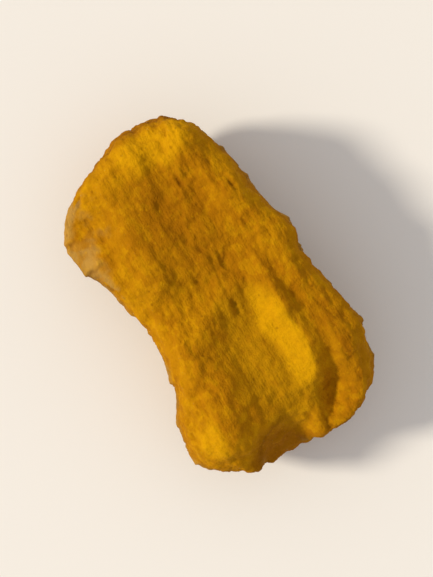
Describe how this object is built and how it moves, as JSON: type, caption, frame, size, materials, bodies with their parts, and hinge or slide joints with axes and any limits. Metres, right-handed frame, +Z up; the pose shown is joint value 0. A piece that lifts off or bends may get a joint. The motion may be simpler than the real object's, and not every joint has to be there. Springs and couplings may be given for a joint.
{
  "type": "turmeric root",
  "caption": "Chunk of dried turmeric root, split lengthwise and chopped at both ends, lying on its ringed skin with the hollowed split face up.",
  "frame": {"origin": "on the surface that the chunk rests on, under the middle of its box", "axes": "+X along the finger from the broad end to the foot, +Y to the side with the ledge, +Z up"},
  "size_m": [0.0174, 0.0104, 0.0062],
  "materials": {
    "dried_turmeric": "matte and powdery: orange-brown dried flesh with darker fibres, tan skin underneath"
  },
  "bodies": {
    "root": {"turmeric_root": "dried_turmeric"}
  },
  "joints": []
}
